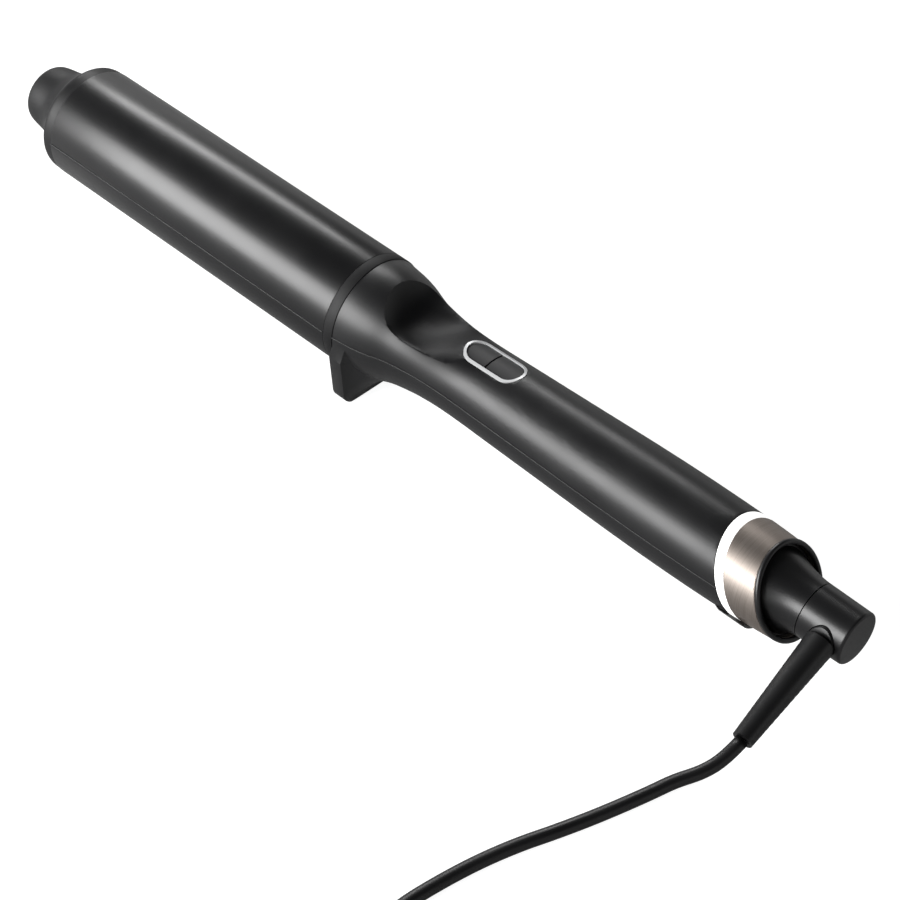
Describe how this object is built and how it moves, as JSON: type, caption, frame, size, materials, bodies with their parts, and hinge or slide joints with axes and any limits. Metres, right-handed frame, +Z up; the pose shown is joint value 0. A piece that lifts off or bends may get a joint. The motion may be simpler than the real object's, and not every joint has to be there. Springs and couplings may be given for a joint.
{
  "type": "curling wand",
  "caption": "Curling wand with a smooth wide barrel, a cool tip, two push keys, a thumb scoop, slanted rings and a swivelling mains lead.",
  "frame": {"origin": "a point on the foot's flat face, on the surface that the wand rests on", "axes": "+X from the barrel's tip towards the handle's rear, +Z up from the surface, the lead leaves towards -Y"},
  "size_m": [0.4137, 0.2659, 0.0497],
  "materials": {
    "tip_black": "satin black heat-resistant plastic",
    "insulation": "brown insulating plastic",
    "screw_steel": "zinc-plated steel",
    "barrel_coat": "satin graphite ceramic coating",
    "collar_grey": "satin dark grey",
    "heat_alloy": "plain extruded aluminium",
    "heater_ceramic": "white ceramic",
    "handle_black": "soft-touch black",
    "bezel_bright": "bright plated",
    "key_grey": "satin dark grey",
    "board_green": "green laminate",
    "component_black": "black component cases",
    "lamp_white": "clear lamp cases",
    "wire_red": "insulated wire",
    "light_white": "lit white plastic",
    "trim_metal": "brushed warm silver",
    "core_black": "black plastic",
    "cap_black": "satin black",
    "contact_brass": "plain brass",
    "cord_black": "matt black flexible plastic",
    "plug_black": "moulded black",
    "pin_metal": "nickel-plated brass"
  },
  "bodies": {
    "wand": {"cool_tip": "tip_black", "tip_insulator": "insulation", "barrel_bush": "insulation", "heat_shield": "insulation", "tip_screw": "screw_steel", "board_screws": "screw_steel", "shell_screws": "screw_steel", "barrel_upper": "barrel_coat", "barrel_lower": "barrel_coat", "collar_ring": "collar_grey", "heat_block_upper": "heat_alloy", "heat_block_lower": "heat_alloy", "heater_plate": "heater_ceramic", "thermistor": "heater_ceramic", "thermal_fuse": "heater_ceramic", "handle_upper": "handle_black", "handle_lower": "handle_black", "key_bezel": "bezel_bright", "circuit_board": "board_green", "led_board": "board_green", "board_parts": "component_black", "tact_switches": "component_black", "brush_block": "component_black", "ring_leds": "lamp_white", "heater_leads": "wire_red", "mains_leads": "wire_red", "light_ring": "light_white", "trim_ring": "trim_metal", "ring_carrier": "core_black", "tail_sleeve": "core_black", "end_cap": "cap_black", "brushes": "contact_brass", "cord_run": "cord_black", "cord_coil": "cord_black", "cord_tail": "cord_black", "coil_tie": "cord_black", "plug_body": "plug_black", "plug_pins": "pin_metal"},
    "front_key": {"front_key": "key_grey"},
    "power_key": {"power_key": "key_grey"},
    "swivel": {"swivel_housing": "cap_black", "swivel_plug": "cap_black", "shaft_circlip": "screw_steel", "slip_rings": "contact_brass", "cord_boot": "cord_black", "cord_clamp": "cord_black", "inner_cable": "cord_black"}
  },
  "joints": [
    {"name": "front_key_press", "type": "slide", "parent": "wand", "child": "front_key", "axis": [-0.0479, 0, -0.9988], "range_m": [0, 0.0005], "stiffness_N_per_m": 1500, "springref_m": -0.0005},
    {"name": "power_key_press", "type": "slide", "parent": "wand", "child": "power_key", "axis": [-0.0479, 0, -0.9988], "range_m": [0, 0.0005], "stiffness_N_per_m": 1500, "springref_m": -0.0005},
    {"name": "cord_swivel", "type": "hinge", "parent": "wand", "child": "swivel", "pos_m": [0.17496, 0, 0.01583], "axis": [-0.9988, 0, 0.0479], "continuous": true}
  ]
}
